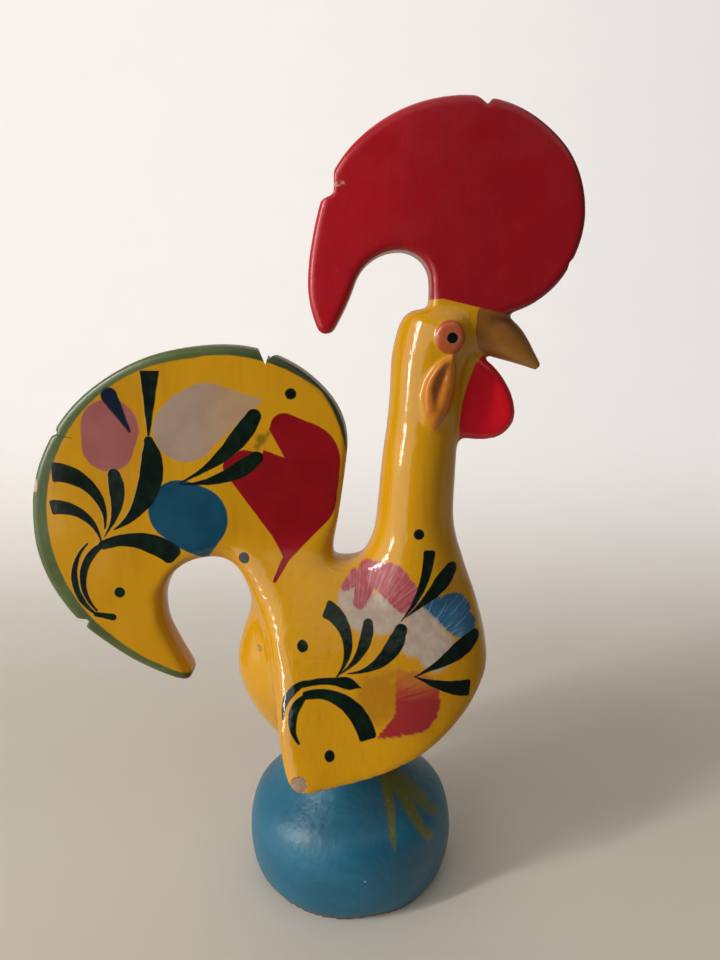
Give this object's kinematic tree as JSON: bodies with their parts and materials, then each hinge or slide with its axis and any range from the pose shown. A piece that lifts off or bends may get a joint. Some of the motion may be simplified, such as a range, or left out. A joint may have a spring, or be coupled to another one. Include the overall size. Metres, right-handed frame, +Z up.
{
  "type": "rooster figurine",
  "caption": "Painted earthenware rooster figure with a hooked comb, a sickle-shaped tail slab and spread wing flaps, standing on a hollow domed base.",
  "frame": {"origin": "middle of the ring that the base stands on", "axes": "+Z up, +X towards the beak, +Y the bird's left"},
  "size_m": [0.1694, 0.079, 0.2497],
  "materials": {
    "base_blue": "satin brushed enamel, blue, with olive toes",
    "body_yellow": "yellow enamel under clear varnish, painted flowers, leaves and dots",
    "wing_yellow": "yellow enamel under clear varnish, painted flowers, leaves and dots",
    "tail_yellow": "yellow enamel with a green rim, petals, leaves and a heart under clear varnish",
    "comb_red": "dark red enamel under clear varnish",
    "beak_ochre": "ochre enamel under clear varnish",
    "wattle_red": "red enamel under clear varnish",
    "eye_orange": "orange enamel with a black pupil",
    "lobe_ochre": "ochre enamel under clear varnish"
  },
  "bodies": {
    "root": {"base": "base_blue", "body": "body_yellow", "wing_right": "wing_yellow", "wing_left": "wing_yellow", "tail": "tail_yellow", "comb": "comb_red", "beak": "beak_ochre", "wattle": "wattle_red", "eye_right": "eye_orange", "eye_left": "eye_orange", "earlobe_right": "lobe_ochre", "earlobe_left": "lobe_ochre"}
  },
  "joints": []
}
